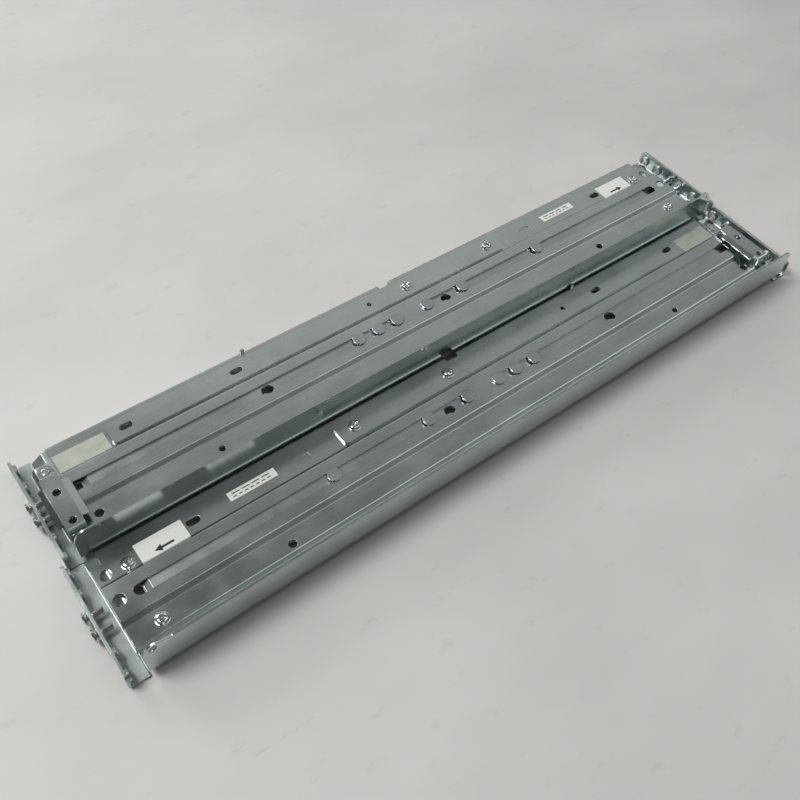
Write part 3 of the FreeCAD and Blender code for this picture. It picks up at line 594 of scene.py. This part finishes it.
def add_collars(material):
    """Raised rims round the rack holes, on the inner side of each rack face."""
    rims = {}
    for mount in frame["record"]["mounts"]:
        if mount["kind"] != "bolt_pattern":
            continue
        hand, end = mount["name"].split("_")[:2]
        radius = mount["dims"]["hole_r_mm"] * MM
        face, middle, level = mount["pos_m"]
        inward = Vector((-mount["axis"][0], 0, 0))
        outer = radius + COLLAR_WIDTH
        foot = BRACKET_SHEET - 0.1 * MM
        top = BRACKET_SHEET + COLLAR_HEIGHT
        profile = [(radius, foot), (radius, top - 0.3 * MM), (radius + 0.3 * MM, top)]
        profile += [(outer - 0.4 * MM, top - 0.1 * MM), (outer, top - 0.5 * MM)]
        profile += [(outer + 0.3 * MM, foot)]
        for side in (-1, 1):
            centre = (face, middle + side * mount["dims"]["spacing_x_mm"] * MM / 2, level)
            rims.setdefault((hand, end), []).append(turned(centre, profile, inward, loop=True))
    for (hand, end), parts in rims.items():
        body = "rail_frames" if end == "front" else f"{hand}_rear_slide"
        add_piece(f"{hand}_{end}_hole_rims", parts, material, body)


# ---------------------------------------------------------------- prints on the labels

def prism(outline, low, high):
    """Flat shape with a thickness."""
    count = len(outline)
    vertices = [Vector((x, y, z)) for z in (low, high) for x, y in outline]
    faces = [tuple(reversed(range(count))), tuple(range(count, 2 * count))]
    for index in range(count):
        after = (index + 1) % count
        faces.append((index, after, count + after, count + index))
    return vertices, faces


def arrow(hand):
    """Plain arrow on the -Y side of the long label, which points to the rack's front."""
    low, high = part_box(f"{hand}_arrow_label")
    forward = math.copysign(1, low.x)
    middle_x = (low.x + high.x) / 2
    shift = 3.9 * MM
    middle_y = (low.y + high.y) / 2 - shift
    tip = 6.8 * MM
    neck = 1.8 * MM
    barb = 2.6 * MM
    shaft = 0.8 * MM
    half = [(tip, 0), (neck, barb), (neck, shaft), (-tip, shaft)]
    points = half + [(x, -y) for x, y in reversed(half[1:])]
    outline = [(middle_x + forward * x, middle_y + y) for x, y in points]
    return prism(outline, high.z, high.z + PRINT)


def dashes(hand):
    """Two rows of plain dashes on the small label."""
    low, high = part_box(f"{hand}_small_label")
    bars = []
    for row, (count, fill) in enumerate(DASH_ROWS):
        y = low.y + (high.y - low.y) * (FIRST_ROW + ROW_STEP * row)
        pitch = (high.x - low.x - 2 * DASH_MARGIN) / count
        for index in range(count):
            start = low.x + DASH_MARGIN + pitch * index
            end = start + fill * pitch
            outline = [(start, y - DASH_HALF), (end, y - DASH_HALF)]
            outline += [(end, y + DASH_HALF), (start, y + DASH_HALF)]
            bars.append(prism(outline, high.z, high.z + PRINT))
    return bars


def add_prints(material):
    """Prints on the labels of both rails."""
    for hand in HANDS:
        add_piece(f"{hand}_arrow_print", [arrow(hand)], material, "rail_frames")
        add_piece(f"{hand}_small_print", dashes(hand), material, "rail_frames")


# ---------------------------------------------------------------- nodes

def dress_nodes(finishes):
    """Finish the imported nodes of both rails."""
    for hand in HANDS:
        for name, material in finishes.items():
            item = frame["nodes"][f"{hand}_{name}"]
            item.data.materials.clear()
            item.data.materials.append(material)


def add_table(material):
    """Table that the rails lie on."""
    signs = ((-1, -1), (1, -1), (1, 1), (-1, 1))
    corners = [(x * TABLE_HALF, y * TABLE_HALF, 0) for x, y in signs]
    mesh = bpy.data.meshes.new("table")
    mesh.from_pydata(corners, [], [(0, 1, 2, 3)])
    mesh.materials.append(material)
    table = bpy.data.objects.new("table", mesh)
    bpy.context.collection.objects.link(table)


add_camera()
add_lights()
sheet_finish = zinc_steel("zinc_sheet", (0.48, 0.535, 0.535), (0.60, 0.66, 0.655), 0.19, 0.6 * MM)
arm_finish = zinc_steel("zinc_arm", (0.42, 0.47, 0.475), (0.54, 0.60, 0.60), 0.3, 0.4 * MM)
bar_finish = zinc_steel("zinc_bar", (0.51, 0.57, 0.56), (0.64, 0.70, 0.69), 0.23, 0.25 * MM)
rivet_finish = zinc_steel("zinc_rivets", (0.43, 0.48, 0.49), (0.55, 0.60, 0.61), 0.27, 0.25 * MM)
bright_finish = turned_metal("bright_zinc", (0.56, 0.59, 0.60), (0.76, 0.79, 0.80), (0.07, 0.14))
wire_finish = turned_metal("spring_wire", (0.22, 0.22, 0.23), (0.36, 0.36, 0.37), (0.2, 0.35))
paper_finish = label_paper()
dress_nodes({
    "web": sheet_finish,
    "front_arm": arm_finish,
    "rear_arm": arm_finish,
    "bar": bar_finish,
    "latch": sheet_finish,
    "latch_pin": bright_finish,
    "latch_spring": wire_finish,
    "front_studs": bright_finish,
    "rear_studs": bright_finish,
    "front_rivets": rivet_finish,
    "rear_rivets": rivet_finish,
    "front_screws": bright_finish,
    "bar_screws": bright_finish,
    "tape": glide_tape(),
    "arrow_label": paper_finish,
    "small_label": paper_finish,
})
add_fasteners(rivet_finish, bright_finish, wire_finish)
add_collars(arm_finish)
add_prints(label_ink())
add_table(table_top())
